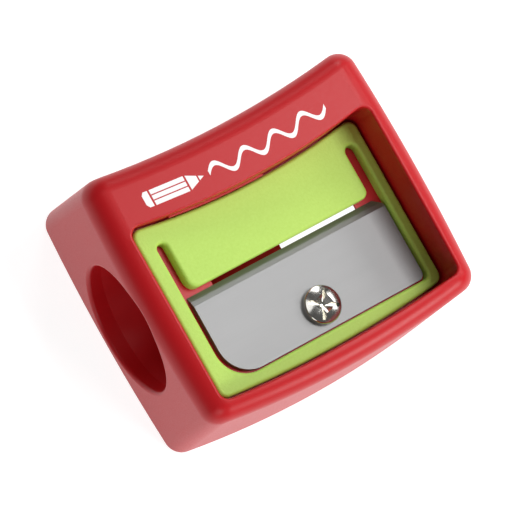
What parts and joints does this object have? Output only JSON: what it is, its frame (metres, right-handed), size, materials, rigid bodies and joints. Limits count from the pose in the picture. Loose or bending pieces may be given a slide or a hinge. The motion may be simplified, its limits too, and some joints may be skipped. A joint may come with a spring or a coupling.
{
  "type": "pencil sharpener",
  "caption": "Small hand-held sharpener for thick pencils: a red moulded housing with a tapered guide, a green blade frame and a steel blade held by a screw.",
  "frame": {"origin": "bottom centre of the housing's box, on the plane of its open back, with the sharpener lying on its back", "axes": "+X along the pencil from the mouth to the tip, +Z out of the side that carries the blade, +Y towards the broad band above the window"},
  "size_m": [0.0404, 0.0352, 0.0212],
  "materials": {
    "red_plastic": "satin moulded",
    "green_plastic": "fine matte moulded",
    "blade_steel": "polished, with a ground edge",
    "plated_steel": "nickel plated",
    "white_ink": "pad printed"
  },
  "bodies": {
    "housing": {"housing": "red_plastic", "blade_frame": "green_plastic"},
    "blade": {"blade": "blade_steel"},
    "screw": {"screw": "plated_steel"}
  },
  "joints": [
    {"name": "blade_lift", "type": "slide", "parent": "housing", "child": "blade", "axis": [0.1538, 0, 0.9881], "range_m": [0, 0.0063]},
    {"name": "screw_turn", "type": "hinge", "parent": "blade", "child": "screw", "pos_m": [0.00095, -0.0089, 0.01572], "axis": [0.1538, 0, 0.9881], "range_deg": [0, 2520]}
  ],
  "couplings": [
    {"joint": "screw_turn", "follows": "blade_lift", "rad_per_m": 6981.3}
  ]
}
